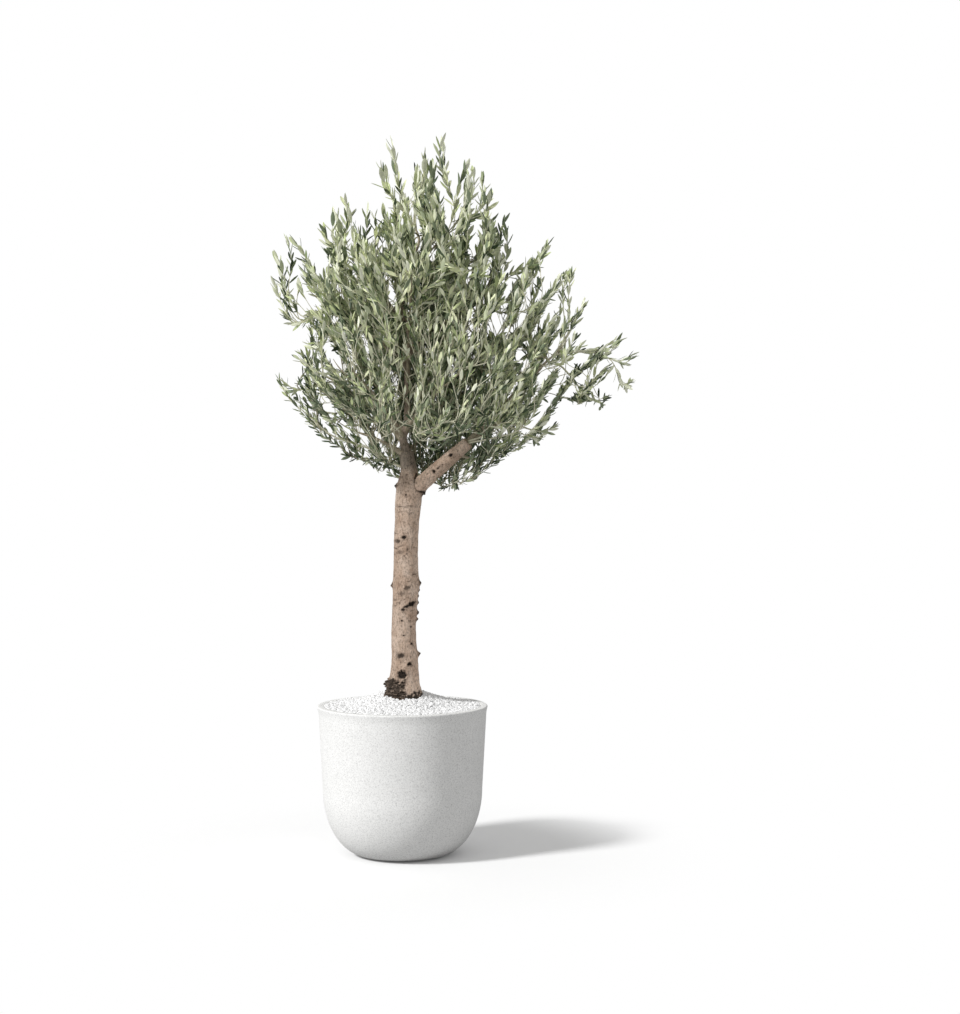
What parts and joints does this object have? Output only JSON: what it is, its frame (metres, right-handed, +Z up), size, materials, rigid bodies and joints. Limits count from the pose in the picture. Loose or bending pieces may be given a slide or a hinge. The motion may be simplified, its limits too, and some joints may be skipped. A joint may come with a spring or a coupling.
{
  "type": "potted olive tree",
  "caption": "Standard olive tree with a bare stem, a stout side limb and an open round crown, in a round white planter topped with white gravel.",
  "frame": {"origin": "centre of the planter's flat underside", "axes": "+Z up the stem, +X towards the stout side limb, -Y the front"},
  "size_m": [1.0461, 0.7766, 1.985],
  "materials": {
    "planter": "matt white stone-look composite with a fine speckle",
    "soil": "dark potting soil, hidden under the gravel",
    "gravel": "small white marble chips",
    "bark": "smooth pinkish-grey bark with dark scars and knots",
    "foliage": "narrow grey-green leaves, paler underneath"
  },
  "bodies": {
    "root": {"pot": "planter", "soil": "soil", "gravel": "gravel", "trunk": "bark", "leader": "bark", "side_limb": "bark", "top_right_bough": "bark", "upper_left_bough": "bark", "left_outer_bough": "bark", "left_mid_bough": "bark", "left_low_bough": "bark", "front_left_bough": "bark", "front_right_bough": "bark", "front_top_bough": "bark", "upper_right_bough": "bark", "right_outer_bough": "bark", "right_low_bough": "bark", "right_under_bough": "bark", "back_left_bough": "bark", "back_right_bough": "bark", "back_top_bough": "bark", "back_low_bough": "bark", "top_left_foliage": "foliage", "top_right_foliage": "foliage", "upper_left_foliage": "foliage", "left_outer_foliage": "foliage", "left_mid_foliage": "foliage", "left_low_foliage": "foliage", "front_left_foliage": "foliage", "front_right_foliage": "foliage", "front_top_foliage": "foliage", "upper_right_foliage": "foliage", "right_outer_foliage": "foliage", "right_low_foliage": "foliage", "right_under_foliage": "foliage", "back_left_foliage": "foliage", "back_right_foliage": "foliage", "back_top_foliage": "foliage", "back_low_foliage": "foliage"}
  },
  "joints": []
}
